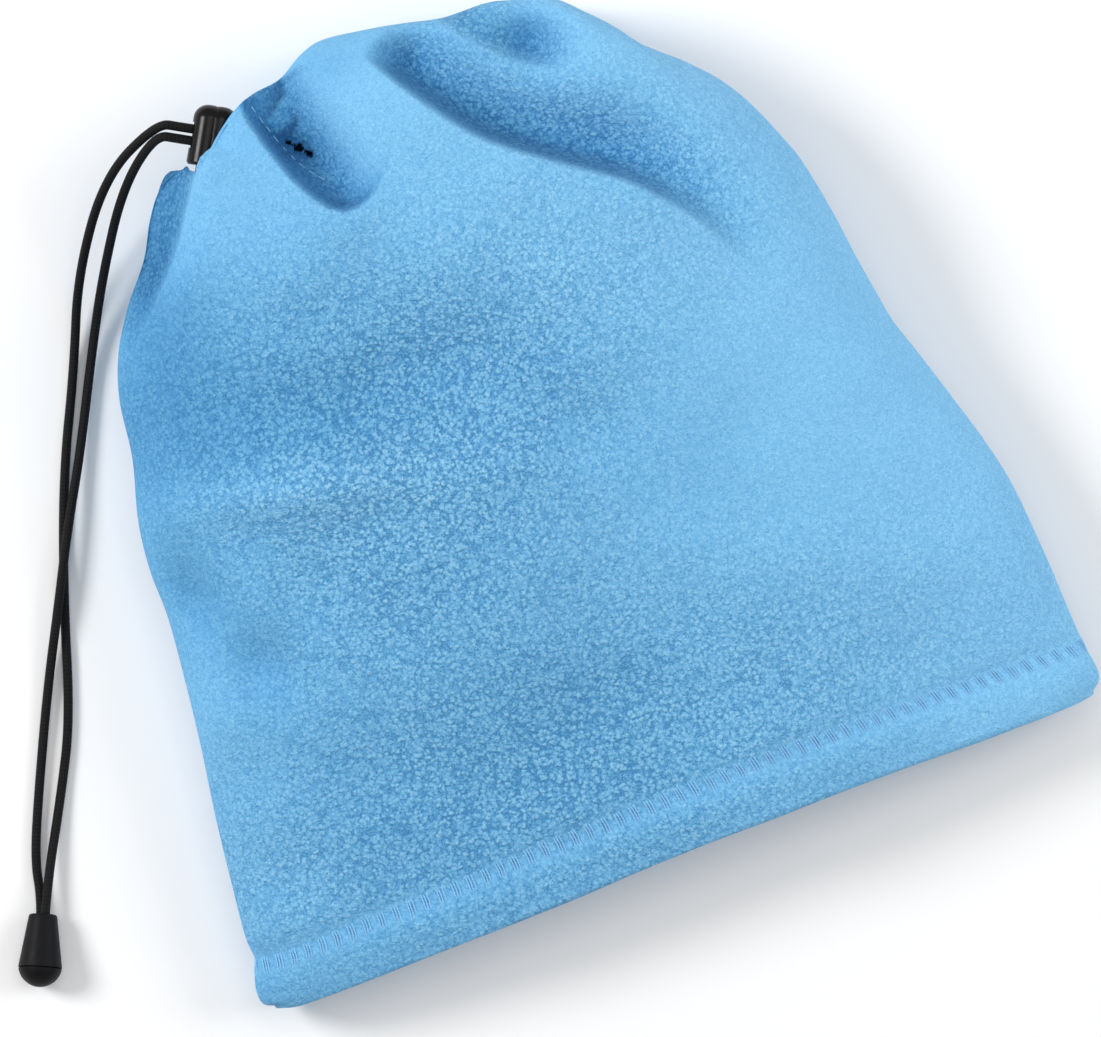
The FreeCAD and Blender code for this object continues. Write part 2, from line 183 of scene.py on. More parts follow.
def fleece_material():
    """Light blue brushed fleece: round tufts with cracks between them, and fine fibres, with painted
    shade in the cracks and painted highlight on the tufts.

    The cloth's grain attribute says how far the tufts stand out, and its other attribute holds painted
    shade and painted highlight, which darken and lighten it.
    """
    tuft_scale = 680.0
    bend_scale = 650.0
    bend_reach = 0.0013
    crumb_scale = 1700.0
    clump_scale = 300.0
    fibre_scale = 2400.0
    patch_scale = 26.0
    tuft_slope = 2.1
    tuft_level = 0.6
    crack_floor = -0.42
    n = Nodes("fleece_pile")
    bend = n.noise(bend_scale)
    bent = n.add("ShaderNodeVectorMath", operation="MULTIPLY_ADD")
    n.link((bend[0], "Color"), bent, 0)
    bent.inputs[1].default_value = grey(bend_reach)
    n.link(n.where, bent, 2)
    cells = n.add("ShaderNodeTexVoronoi", Scale=tuft_scale)
    n.link((bent, 0), cells, "Vector")
    crumbs = n.noise(crumb_scale, 2.0, 0.6)
    clumps = n.noise(clump_scale, 2.0, 0.55)
    fibres = n.noise(fibre_scale, 2.0, 0.6)
    # painted shade and painted highlight, given at each of the cloth's points
    painted_shading = (n.add("ShaderNodeAttribute", attribute_name="painted_shading"), "Color")
    grain = (n.add("ShaderNodeAttribute", attribute_name="grain"), "Fac")

    fall = n.maths("MULTIPLY", n.maths("POWER", (cells, "Distance"), 2.0), tuft_slope)
    dome = n.maths("SUBTRACT", 1.0, fall)
    standing = n.maths("MAXIMUM", n.maths("SUBTRACT", dome, tuft_level), crack_floor)
    uneven = n.ramp(clumps, [(0.35, grey(0.5)), (0.65, grey(1.0))])
    tufts = n.maths("MULTIPLY", standing, uneven)
    pile = n.maths("MULTIPLY_ADD", tufts, grain, tuft_level)
    crumbliness = n.maths("MULTIPLY_ADD", grain, 0.9, 0.7)
    pile = n.maths("MULTIPLY_ADD", n.maths("SUBTRACT", crumbs, 0.5), crumbliness, pile)
    # painted shade and painted highlight: the pile's height picks a darker colour in the cracks and a
    # lighter one on the tuft tops
    pile_shading = n.ramp(pile, [
        (0.15, (0.08, 0.30, 0.585)), (0.45, (0.165, 0.46, 0.77)),
        (0.68, (0.23, 0.555, 0.855)), (0.98, (0.36, 0.70, 0.94)),
    ])
    patches = n.ramp(n.noise(patch_scale), [(0.3, (0.93, 0.95, 0.97)), (0.7, grey(1.0))])
    colour = n.multiplied(pile_shading, n.multiplied(painted_shading, patches))
    furred = n.bump(fibres, 0.00012, 0.7, n.bump(pile, 0.00055, 0.9))
    return n.finish(
        colour, furred, Roughness=0.95, Specular_IOR_Level=0.08,
        Sheen_Weight=0.12, Sheen_Roughness=0.6, Sheen_Tint=(0.6, 0.82, 1.0, 1.0),
    )


def braid_material():
    """Black braided elastic cord: two sets of yarns crossing round a round cord."""
    yarn_pitch = 0.0012
    yarns = 16
    n = Nodes("black_braid")
    split = n.add("ShaderNodeSeparateXYZ")
    n.link((n.add("ShaderNodeUVMap", uv_map="along"), 0), split, 0)
    along_it = n.maths("MULTIPLY", (split, "X"), math.pi / yarn_pitch)
    round_it = n.maths("MULTIPLY", (split, "Y"), math.pi * yarns)
    one = n.maths("SINE", n.maths("ADD", along_it, round_it))
    two = n.maths("SINE", n.maths("SUBTRACT", along_it, round_it))
    weave = n.maths("MULTIPLY_ADD", n.maths("MULTIPLY", one, two), 0.5, 0.5)
    fuzz = n.noise(3000.0, 3.0, 0.65)
    # painted shade between the yarns, lighter on their crowns
    colour = n.ramp(weave, [(0.0, (0.002, 0.002, 0.0022)), (1.0, (0.0095, 0.009, 0.010))])
    hairy = n.bump(fuzz, 0.00008, 0.7, n.bump(weave, 0.00016, 0.9))
    return n.finish(colour, hairy, Roughness=0.6, Sheen_Weight=0.01, Specular_IOR_Level=0.15)


def plastic_material(name, colour, roughness, shine, grain):
    """Black moulded plastic with a fine spark-eroded grain and faint scuffs."""
    n = Nodes(name)
    texture = n.noise(4200.0, 2.0)
    scuffs = n.noise(320.0, 4.0, 0.7)
    gloss = n.ramp(scuffs, [(0.35, grey(roughness * 0.85)), (0.7, grey(roughness * 1.2))])
    n.link(gloss, n.shader, "Roughness")
    darker = tuple(c * 0.8 for c in colour)
    lighter = tuple(c * 1.25 for c in colour)
    tint = n.ramp(scuffs, [(0.3, darker), (0.7, lighter)])
    return n.finish(tint, n.bump(texture, grain, 0.5), Specular_IOR_Level=shine)


def thread_material():
    """Twisted sewing thread, close to the fleece in colour."""
    n = Nodes("blue_thread")
    wave = n.add("ShaderNodeTexWave", bands_direction="DIAGONAL", Scale=900.0, Distortion=1.5)
    n.link(n.where, wave, "Vector")
    twist = (wave, "Fac")
    # painted shade in the twist's grooves, lighter on its ridges
    colour = n.ramp(twist, [(0.0, (0.20, 0.50, 0.81)), (1.0, (0.36, 0.68, 0.93))])
    return n.finish(colour, n.bump(twist, 0.00008, 0.8), Roughness=0.8, Specular_IOR_Level=0.1)


def steel_material():
    """Drawn spring wire."""
    n = Nodes("spring_wire")
    colour = n.ramp(n.noise(1800.0, 3.0), [(0.3, (0.42, 0.42, 0.43)), (0.7, (0.62, 0.62, 0.63))])
    return n.finish(colour, Metallic=1.0, Roughness=0.32)


def floor_material():
    """A plain, nearly white studio table."""
    n = Nodes("pale_table")
    colour = n.ramp(n.noise(3.0, 2.0), [(0.3, (0.93, 0.93, 0.935)), (0.7, (0.95, 0.95, 0.95))])
    return n.finish(colour, Roughness=0.8)


FLEECE = fleece_material()
BRAID = braid_material()
THREAD = thread_material()
STEEL = steel_material()
BELL_PLASTIC = plastic_material("satin_black_plastic", (0.005, 0.005, 0.006), 0.5, 0.13, 0.00007)
LOCK_PLASTIC = plastic_material("gloss_black_plastic", (0.005, 0.0045, 0.005), 0.25, 0.2, 0.00002)


def mesh_object(name, points, faces, material, smooth=True):
    """A mesh piece from points in millimetres."""
    mesh = bpy.data.meshes.new(name)
    mesh.from_pydata((np.asarray(points) * MM).tolist(), [], faces)
    mesh.update()
    if smooth:
        mesh.polygons.foreach_set("use_smooth", [True] * len(mesh.polygons))
    mesh.materials.append(material)
    obj = bpy.data.objects.new(name, mesh)
    bpy.context.scene.collection.objects.link(obj)
    return obj


FLOOR = 3000
floor = mesh_object(
    "table_top", [(-FLOOR, -FLOOR, 0), (FLOOR, -FLOOR, 0), (FLOOR, FLOOR, 0), (-FLOOR, FLOOR, 0)],
    [(0, 1, 2, 3)], floor_material(), False,
)


# ---------------------------------------------------------------- the cord
# the same places as in the part
CORD_RADIUS = 1.4
ON_TABLE = 1.45
STRAND_SPACING = 3.5
LOCK_CENTRE = np.array((-55.5, 117.5, 40.0))
LOCK_AXIS = np.array((-0.5, -math.sqrt(0.75), 0.0))
LOCK_OUT = np.array((-math.sqrt(0.75), 0.5, 0.0))
STRAND_A = LOCK_CENTRE - LOCK_AXIS * STRAND_SPACING / 2
STRAND_B = LOCK_CENTRE + LOCK_AXIS * STRAND_SPACING / 2

BELL_LENGTH = 16.0
BELL_NECK = 4.2
BELL_MOUTH = 6.6
bell_heading = math.radians(246.4)
bell_lean = math.asin((BELL_MOUTH - BELL_NECK) / BELL_LENGTH)
BELL_AXIS = np.array((
    math.cos(bell_heading) * math.cos(bell_lean),
    math.sin(bell_heading) * math.cos(bell_lean),
    math.sin(bell_lean),
))
BELL_SIDE = np.array((-math.sin(bell_heading), math.cos(bell_heading), 0.0))
BELL_RISE = np.cross(BELL_AXIS, BELL_SIDE)
BELL_TOP = np.array((-186.2, -79.9, BELL_NECK / math.cos(bell_lean) + 0.02))
PAIR_OFFSET = BELL_SIDE * 0.65 + BELL_RISE * 1.35
KNOT_START = 6

TAIL_A = [
    STRAND_A, STRAND_A + LOCK_OUT * 10, STRAND_A + LOCK_OUT * 17, (-90, 119, 25), (-108.5, 95, 8.5),
    (-119.5, 70, ON_TABLE), (-133.5, 42, ON_TABLE), (-146.5, 8, ON_TABLE), (-158, -28, ON_TABLE),
    (-169, -49, ON_TABLE),
    BELL_TOP - BELL_AXIS * 8 + PAIR_OFFSET, BELL_TOP + BELL_AXIS * KNOT_START + PAIR_OFFSET,
]
TAIL_B = [
    STRAND_B, STRAND_B + LOCK_OUT * 10, STRAND_B + LOCK_OUT * 17, (-86, 114, 26), (-101, 93, 10),
    (-112, 74, 2.5), (-127, 45, 3.0), (-138, 26, 5.3), (-149, 5, 5.3), (-161, -17, 2.0),
    (-175, -46, ON_TABLE), (-183, -64, ON_TABLE),
    BELL_TOP - BELL_AXIS * 4 - PAIR_OFFSET, BELL_TOP + BELL_AXIS * KNOT_START - PAIR_OFFSET,
]
LOOP = [
    STRAND_A, STRAND_A - LOCK_OUT * 16, (-24, 122.5, 34), (-10, 111, 39), (-10, 88, 49),
    (-21, 75, 53.5), (-36, 82, 51), (-44, 100, 44), STRAND_B - LOCK_OUT * 13, STRAND_B,
]


def smooth_route(name, points):
    """The line of a NURBS spline with the route's corners as its control points, in mm."""
    data = bpy.data.curves.new(name + "_route", "CURVE")
    data.dimensions = "3D"
    data.resolution_u = 40
    spline = data.splines.new("NURBS")
    spline.points.add(len(points) - 1)
    for control, point in zip(spline.points, points):
        control.co = (*(float(c) * MM for c in point), 1.0)
    spline.order_u = 3
    spline.use_endpoint_u = True
    holder = bpy.data.objects.new(name + "_route", data)
    bpy.context.scene.collection.objects.link(holder)
    bpy.context.view_layer.update()
    mesh = bpy.data.meshes.new_from_object(holder.evaluated_get(bpy.context.evaluated_depsgraph_get()))
    line = np.array([vertex.co[:] for vertex in mesh.vertices]) / MM
    bpy.data.objects.remove(holder)
    bpy.data.meshes.remove(mesh)
    return line


def evenly(line, step):
    """The same line with points a fixed step apart."""
    line = np.asarray(line, float)
    lengths = np.concatenate(([0.0], np.cumsum(np.linalg.norm(np.diff(line, axis=0), axis=1))))
    count = max(2, int(round(lengths[-1] / step)) + 1)
    at = np.linspace(0.0, lengths[-1], count)
    return np.stack([np.interp(at, lengths, line[:, axis]) for axis in range(3)], axis=1)


def tube_rings(line, radius, sides):
    """Rings of points round a line, without twist; radius is a number or one for each point."""
    headings = np.gradient(line, axis=0)
    headings /= np.linalg.norm(headings, axis=1)[:, None]
    side = np.cross(headings[0], (0.3, 0.2, 1.0))
    side /= np.linalg.norm(side)
    rings = []
    turns = np.linspace(0.0, 2 * math.pi, sides, endpoint=False)
    radii = np.broadcast_to(radius, len(line))
    for point, heading, r in zip(line, headings, radii):
        side = side - heading * side.dot(heading)
        side /= np.linalg.norm(side)
        other = np.cross(heading, side)
        ring = point + r * (np.cos(turns)[:, None] * side + np.sin(turns)[:, None] * other)
        rings.append(ring)
    return np.concatenate(rings)


def tube_faces(rings, sides, first=0):
    """Quads between the rings, and a cap at each end."""
    faces = []
    for row in range(rings - 1):
        for k in range(sides):
            a = first + row * sides + k
            b = first + row * sides + (k + 1) % sides
            faces.append((a, b, b + sides, a + sides))
    faces.append(tuple(first + k for k in reversed(range(sides))))
    faces.append(tuple(first + (rings - 1) * sides + k for k in range(sides)))
    return faces


def cord_piece(name, points, node):
    """A braided cord along a route, with its length and its turn as texture coordinates."""
    ring_step = 0.9
    sides = 20
    line = evenly(smooth_route(name, points), ring_step)
    faces = tube_faces(len(line), sides)
    obj = mesh_object(name, tube_rings(line, CORD_RADIUS, sides), faces, BRAID)
    layer = obj.data.uv_layers.new(name="along")
    step = np.linalg.norm(line[1] - line[0]) * MM
    values = np.zeros((len(obj.data.loops), 2))
    for polygon in obj.data.polygons:
        for loop in polygon.loop_indices:
            vertex = obj.data.loops[loop].vertex_index
            values[loop] = ((vertex // sides) * step, (vertex % sides) / sides)
        # the last face round the cord runs on to a whole turn
        turn = values[list(polygon.loop_indices), 1]
        if turn.max() - turn.min() > 0.5:
            for loop in polygon.loop_indices:
                if values[loop, 1] < 0.25:
                    values[loop, 1] += 1.0
    layer.data.foreach_set("uv", values.ravel())
    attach(obj, "gaiter")
    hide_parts(node)
    return obj, line


def show_as(node, material):
    """Gives a carried-over CAD node its finish."""
    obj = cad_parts[node]
    obj.data.materials.clear()
    obj.data.materials.append(material)
    return obj


tail_a, line_a = cord_piece("cord_tail_outer", TAIL_A, "drawcord_tail_a")
tail_b, line_b = cord_piece("cord_tail_inner", TAIL_B, "drawcord_tail_b")
_, line_loop = cord_piece("cord_in_casing", LOOP, "drawcord_loop")
bell = show_as("cord_end_bell", BELL_PLASTIC)
plug = show_as("cord_end_plug", BELL_PLASTIC)
show_as("cord_lock_barrel", LOCK_PLASTIC)
show_as("cord_lock_plunger", LOCK_PLASTIC)
show_as("cord_lock_spring", STEEL)
knot = show_as("cord_knot", BRAID)


# ---------------------------------------------------------------- the fleece's outline
LEFT_SIDE = [
    (-130.5, -131.8), (-133.6, -129.0), (-134.0, -124.0), (-132.6, -118.5), (-131.0, -115.0),
    (-131.3, -107.0), (-129.4, -90.0), (-126.8, -70.0), (-123.6, -50.0), (-121.0, -30.0),
    (-119.0, -10.0), (-119.0, 5.0), (-117.0, 20.0), (-112.0, 38.0), (-109.5, 55.0),
    (-105.0, 68.0), (-97.5, 80.0), (-88.0, 91.5), (-82.0, 102.0), (-76.5, 109.0), (-70.5, 112.3),
]
TOP_EDGE = [
    (-70.5, 112.3), (-66.8, 112.4), (-63.6, 110.4), (-59.2, 111.4), (-53.8, 116.6), (-48.2, 121.6),
    (-39.7, 125.5), (-31.0, 127.3), (-21.6, 132.1), (-14.3, 133.6), (-1.6, 131.8), (10.0, 129.6),
    (20.4, 127.3), (33.6, 126.8), (40.9, 125.1), (52.6, 121.3), (60.8, 113.6), (67.1, 106.7),
    (71.5, 100.5), (76.4, 95.8), (83.2, 90.0),
]
RIGHT_SIDE = [
    (131.0, -130.6), (133.8, -127.0), (134.2, -122.0), (133.2, -115.0), (132.6, -105.0),
    (131.8, -85.0), (130.0, -62.0), (126.6, -46.0), (122.0, -30.0), (117.5, -15.0), (114.0, -4.0),
    (112.3, 6.0), (110.5, 18.0), (108.5, 34.0), (105.5, 50.0), (102.8, 58.0), (99.6, 66.0),
    (95.8, 74.0), (90.5, 82.0), (83.2, 90.0),
]
HEM_EDGE = [
    (-130.5, -131.8), (-121.0, -133.0), (-90.0, -132.6), (-60.0, -132.1), (-30.0, -131.2),
    (0.0, -130.4), (40.0, -129.9), (80.0, -130.2), (120.0, -130.9), (131.0, -130.6),
]


def rounded_line(points, count=600):
    """A smooth line through points (Catmull-Rom), sampled evenly."""
    p = np.asarray(points, float)
    p = np.vstack((2 * p[0] - p[1], p, 2 * p[-1] - p[-2]))
    pieces = []
    t = np.linspace(0.0, 1.0, 24, endpoint=False)[:, None]
    for a, b, c, d in zip(p, p[1:], p[2:], p[3:]):
        pieces.append(0.5 * (2 * b + (c - a) * t + (2 * a - 5 * b + 4 * c - d) * t ** 2
                             + (3 * b - a - 3 * c + d) * t ** 3))
    line = np.vstack((*pieces, p[-2:-1]))
    steps = np.concatenate(([0.0], np.cumsum(np.linalg.norm(np.diff(line, axis=0), axis=1))))
    at = np.linspace(0.0, steps[-1], count)
    return np.stack([np.interp(at, steps, line[:, axis]) for axis in range(p.shape[1])], axis=1)


def along(line, share):
    """Points at the given shares of a line's length."""
    at = np.linspace(0.0, 1.0, len(line))
    return np.stack([np.interp(share, at, line[:, axis]) for axis in range(line.shape[1])], axis=-1)


COLUMNS = 330
ROWS = 270
# how strongly the columns crowd towards the sides, and the rows towards the gathered top
SIDE_CROWDING = 0.7
TOP_CROWDING = 0.45
turn = np.linspace(0.0, math.pi, COLUMNS)
across = SIDE_CROWDING * (1.0 - np.cos(turn)) / 2 + (1 - SIDE_CROWDING) * turn / math.pi
climb = np.linspace(0.0, 1.0, ROWS)
climb = TOP_CROWDING * np.sin(climb * math.pi / 2) + (1 - TOP_CROWDING) * climb
# a patch between the four edges: A runs from left to right, and B from the hem to the top
left_line = along(rounded_line(LEFT_SIDE), climb)[:, None, :]
right_line = along(rounded_line(RIGHT_SIDE), climb)[:, None, :]
hem_line = along(rounded_line(HEM_EDGE), across)[None, :, :]
top_line = along(rounded_line(TOP_EDGE), across)[None, :, :]
A = across[None, :, None]
B = climb[:, None, None]
corners = ((1 - A) * (1 - B) * hem_line[:, :1] + A * (1 - B) * hem_line[:, -1:]
           + (1 - A) * B * top_line[:, :1] + A * B * top_line[:, -1:])
plan = (1 - A) * left_line + A * right_line + (1 - B) * hem_line + B * top_line - corners
X = plan[..., 0]
Y = plan[..., 1]
A = A[..., 0]
B = B[..., 0]

# ---------------------------------------------------------------- its volume, front and back
ROUNDNESS = 2.3
TOP_ROUNDNESS = 5.0
side_fall = np.clip(1.0 - np.abs(2 * A - 1) ** ROUNDNESS, 0.0, 1.0) ** (1 / ROUNDNESS)
top_fall = np.clip(1.0 - B ** TOP_ROUNDNESS, 0.0, 1.0) ** (1 / TOP_ROUNDNESS)
fullness = side_fall * top_fall


def bell_curve(x, y, wide, tall=None, turned=0.0):
    """A soft round mark in plan: 1 at its middle, fading over wide and tall millimetres."""
    tall = tall or wide
    c, s = math.cos(math.radians(turned)), math.sin(math.radians(turned))
    u = (X - x) * c + (Y - y) * s
    v = -(X - x) * s + (Y - y) * c
    return np.exp(-(u / wide) ** 2 - (v / tall) ** 2)


def ripple(size, count=14):
    """Seeded smooth unevenness, about -1 to 1, with swells of the given size."""
    total = np.zeros_like(X)
    for _ in range(count):
        heading = random.uniform(0, 2 * math.pi)
        wave = 2 * math.pi / (size * random.uniform(0.8, 1.6))
        start = random.uniform(0, 2 * math.pi)
        total += np.sin((X * math.cos(heading) + Y * math.sin(heading)) * wave + start)
    return total / math.sqrt(count)


def signed_distance(points):
    """Distance to a line in plan, negative on its left, and the share of the line passed there."""
    line = rounded_line(points, 60)
    best = np.full(X.shape, 1e9)
    sign = np.ones(X.shape)
    place = np.zeros(X.shape)
    for k, (p, q) in enumerate(zip(line, line[1:])):
        d = q - p
        t = np.clip(((X - p[0]) * d[0] + (Y - p[1]) * d[1]) / d.dot(d), 0.0, 1.0)
        dx, dy = X - p[0] - t * d[0], Y - p[1] - t * d[1]
        far = np.hypot(dx, dy)
        side = np.sign(d[1] * dx - d[0] * dy)
        nearer = far < best
        best = np.where(nearer, far, best)
        sign = np.where(nearer, side, sign)
        place = np.where(nearer, (k + t) / (len(line) - 1), place)
    return best * sign, place


def smooth_step(low, high, value):
    """0 below low and 1 above high, with a smooth rise between them."""
    t = np.clip((value - low) / (high - low), 0.0, 1.0)
    return t * t * (3 - 2 * t)


def fold(points, rise, drop, near, slope, far, start=0.12, end=0.3):
    """A fold with a crest along a line: it swells up on the left and falls away on the right.

    near is the width of the swell, slope how far the fall takes, far where it has eased out.
    start and end are the shares of the line over which it fades in and out. The second value
    given back is how deep in the valley each point is, from 0 to 1.
    """
    d, place = signed_distance(points)
    fade = smooth_step(0, end, 1 - place)
    if start:
        fade = fade * smooth_step(0, start, place)
    swell = rise * np.exp(-(d / near) ** 2)
    beyond = np.maximum(d, 0)
    fall = (1 - np.exp(-beyond / slope)) * np.exp(-(beyond / far) ** 2)
    return fade * (swell - drop * fall), fade * fall


# how high the side edges lie, and how high the front stands between them
SIDE_HEIGHT = 17.0
SIDE_RISE = 8.0
LOCK_LIFT = 9.0
HEM_HEIGHT = 33.0
BODY_RISE = 27.0
mid_height = SIDE_HEIGHT + SIDE_RISE * B + LOCK_LIFT * bell_curve(-60, 114, 12)
rising = np.sin(np.clip(B * 1.15, 0, 1) * math.pi / 2) ** 1.2
front_height = HEM_HEIGHT + BODY_RISE * rising
front = mid_height + (front_height - mid_height) * fullness

relief = np.zeros_like(X)
# the long slanting fold from the gather to the right side
LONG_FOLD = [(84, 16), (70, 42), (60, 55), (52, 63), (34, 76), (18, 89), (5, 106), (-7, 126)]
shape, long_valley = fold(LONG_FOLD, 4.0, 23.0, 15, 3.6, 19, start=0.5, end=0.1)
relief += shape
# a mask only for painted shade just beyond the long fold's crest
long_edge = fold(LONG_FOLD, 0, 0, 15, 1.2, 8, start=0.5, end=0.1)[1]
# the gathered hole: cloth rolls over the drawcord on its left and eases up on its right
POCKET = [
    (-6, 98), (-10.5, 89), (-17.5, 83.6), (-25, 82), (-31, 85.5), (-37, 95), (-41.2, 107),
    (-44.5, 120), (-46, 130),
]
HOLE_TURN = 39
shape, pocket = fold(POCKET, 2.0, 15.0, 9, 2.8, 50, start=0, end=0.1)
right_wall = X + 0.2 * (Y - 100)
relief += shape * (1 - smooth_step(-29, -12, right_wall))
pocket *= 1 - smooth_step(-27, -17, right_wall)
relief -= 3.0 * bell_curve(-33, 105.5, 4.5, 8, HOLE_TURN)
# a mask only for painted shade just beyond the pocket's edge
pocket_edge = fold(POCKET, 0, 0, 9, 1.0, 4.5, start=0.3, end=0.1)[1]
# the crease that ends in a dimple near the top
CREASE = [(56, 96), (42, 103), (27, 115), (15, 132)]
shape, crease = fold(CREASE, 1.5, 7.0, 10, 4, 13, start=0.4, end=0.1)
relief += shape
relief -= 7.0 * bell_curve(42, 111, 8, 10, 30)
# the flap that the cord lock pulls over the left shoulder
SHOULDER = [(-59, 117), (-64, 109), (-70, 100), (-77, 90), (-87, 79), (-104, 62)]
shoulder_fold, shoulder = fold(SHOULDER, 3.0, 9.0, 14, 1.8, 22, start=0.05, end=0.5)
relief += shoulder_fold
# soft swells, and hollows below zero: height, middle, half width and height in plan, and turn
SWELLS = [
    (-4.0, -85, 45, 24, 24, 0), (-4.0, -30, 32, 45, 11, -4), (3.6, -70, 10, 38, 8, -14),
    (-4.6, 15, -2, 14, 40, 42), (-6.0, -109, -8, 8, 14, 15), (3.0, -90, -20, 5, 15, 8),
    (-5.0, -98, -34, 9, 11, 20), (3.0, -118, -42, 12, 14, 0), (-3.2, -40, -85, 60, 22, -5),
]
for height, *mark in SWELLS:
    relief += height * bell_curve(*mark)
relief += 1.3 * ripple(75) + 0.5 * ripple(32)
# all of it eases out towards the side and top edges, the shoulder's fold closest to them
relief = (relief - shoulder_fold) * smooth_step(0.0, 0.55, fullness)
relief += shoulder_fold * smooth_step(0.0, 0.2, fullness)
front = front + relief

# the turned hem: a pinched row of stitches and a fuller rolled edge
from_hem = Y - hem_line[..., 1]
STITCH_LINE = 17.6
STITCH_HALF = 3.3
HEM_MIDDLE = 8.5
front -= 1.1 * np.exp(-((from_hem - STITCH_LINE) / 3.4) ** 2)
front += 0.8 * np.exp(-((from_hem - HEM_MIDDLE) / 5.5) ** 2)

# the casing keeps the cloth above the drawcord's loop, except for its ends in and beside the lock
COVER = 3.0
COVER_WIDTH = 3.2
end_points = len(line_loop) // 14
loop_line = evenly(line_loop[end_points: -end_points - 1], 1.5)
needed = np.full(X.shape, -100.0)
for point in loop_line:
    away = np.hypot(X - point[0], Y - point[1])
    needed = np.maximum(needed, point[2] + COVER - (away / COVER_WIDTH) ** 4)

# it lies over the right half of the cord lock like a saddle
LOCK_TOP = 45.2
SADDLE_COVER = 2.2
SADDLE_WIDTH = 8.0
PLUNGER_END = 12.8
BARREL_END = 9.6
lock_low = LOCK_CENTRE + LOCK_AXIS * PLUNGER_END
lock_high = LOCK_CENTRE - LOCK_AXIS * BARREL_END
run = (lock_low - lock_high)[:2]
t = np.clip(((X - lock_high[0]) * run[0] + (Y - lock_high[1]) * run[1]) / run.dot(run), 0.0, 1.0)
from_lock = np.hypot(X - lock_high[0] - t * run[0], Y - lock_high[1] - t * run[1])
beside_lock = -((X - LOCK_CENTRE[0]) * LOCK_OUT[0] + (Y - LOCK_CENTRE[1]) * LOCK_OUT[1])
right_of_lock = smooth_step(-3.0, -0.5, beside_lock)
saddle = LOCK_TOP + SADDLE_COVER - 1.1 * np.maximum(from_lock - SADDLE_WIDTH, 0.0)
saddle = saddle - 40.0 * (1 - right_of_lock)
needed = np.maximum(needed, saddle)
# the higher of the two heights, with a soft change between them
SOFTNESS = 0.8
front = SOFTNESS * np.logaddexp(needed / SOFTNESS, front / SOFTNESS)

sink = np.clip(fullness * 1.5, 0.0, 1.0)
back = mid_height * (1.0 - sink) ** 1.8 + 0.1
back += (0.8 * np.abs(ripple(60))) * sink * (1 - 0.5 * sink)

# a lip of cloth lies on the side of the cord lock
over_lock = (1 - smooth_step(7.2, 10.5, from_lock)) * right_of_lock
back = back * (1 - over_lock) + over_lock * np.maximum(back, LOCK_TOP + 0.3)
edge = 0.5 * (front + back)
top_edge = edge[-1] * (1 - over_lock[-1]) + over_lock[-1] * (LOCK_TOP + 1.2)
front[:, 0] = back[:, 0] = edge[:, 0]
front[:, -1] = back[:, -1] = edge[:, -1]
front[-1] = back[-1] = top_edge

# ---------------------------------------------------------------- outer and inner skins
def ring_of(front_grid, back_grid):
    """Rows that run round the tube: over the front from the left, and back under it."""
    return np.concatenate((front_grid, back_grid[:, -2:0:-1]), axis=1)


outer = ring_of(np.stack((X, Y, front), axis=-1), np.stack((X, Y, back), axis=-1))
RING = outer.shape[1]


def ring_normals(grid):
    """Outward directions on the grid, from its rows and its rings."""
    round_it = np.roll(grid, -1, axis=1) - np.roll(grid, 1, axis=1)
    up_it = np.gradient(grid, axis=0)
    normal = np.cross(round_it, up_it)
    size = np.linalg.norm(normal, axis=2, keepdims=True)
    return normal / np.maximum(size, 1e-9)


def soften(grid, rounds):
    """The grid with its values evened out among neighbours."""
    for _ in range(rounds):
        grid = 0.5 * grid + 0.25 * (np.roll(grid, 1, axis=1) + np.roll(grid, -1, axis=1))
        middle = 0.5 * grid[1:-1] + 0.25 * (grid[:-2] + grid[2:])
        grid = np.concatenate((grid[:1], middle, grid[-1:]), axis=0)
    return grid


def distances_up(grid):
    """How far each point is from the first row, measured on the cloth."""
    steps = np.linalg.norm(np.diff(grid, axis=0), axis=2)
    return np.concatenate((np.zeros((1, RING)), np.cumsum(steps, axis=0)))


normals = soften(ring_normals(outer), 6)
normals /= np.maximum(np.linalg.norm(normals, axis=2, keepdims=True), 1e-9)
distance_up = distances_up(outer)
HEM_THICK = 4.6
CLOTH_THICK = 2.4
HEM_TURN = 20.0
turned = 1 / (1 + np.exp((distance_up - HEM_TURN) / 0.7))
thick = CLOTH_THICK + (HEM_THICK - CLOTH_THICK) * turned
# the lip is thinner, so that its front and back stay apart
lip = smooth_step(0.0, 0.2, ring_of(over_lock, over_lock))
gap = ring_of(front - back, front - back)
thick = thick * (1 - lip) + np.minimum(thick, 0.4 * gap + 0.1) * lip
inner = outer - normals * thick[..., None]
inner[..., 2] = np.maximum(inner[..., 2], 1.0)

# the hem's edge is rolled from the outer skin round to the inner one
ROLL = 5
ROLL_REACH = HEM_THICK * 0.5
roll_rows = []
for k in range(1, ROLL + 1):
    angle = math.pi * k / (ROLL + 1)
    inward = (1 - math.cos(angle)) / 2
    rim = outer[0] * (1 - inward) + inner[0] * inward
    rim = rim + np.array((0.0, -1.0, 0.0)) * math.sin(angle) * ROLL_REACH
    roll_rows.append(rim)
roll = np.stack(roll_rows)
shift = np.array((0.0, ROLL_REACH, 0.0))
keep_edge = np.exp(-distance_up / 8.0)[..., None]
outer = outer + shift * keep_edge
inner = inner + shift * keep_edge
roll = roll + shift

points = np.concatenate((outer.reshape(-1, 3), inner.reshape(-1, 3), roll.reshape(-1, 3)))
points[:, 2] = np.maximum(points[:, 2], 0.05)
COUNT = ROWS * RING


def merged(row, k):
    """A point's number. The top row's back half is the same points as its front half."""
    if row == ROWS - 1 and k >= COLUMNS:
        k = 2 * (COLUMNS - 1) - k
    return row * RING + k


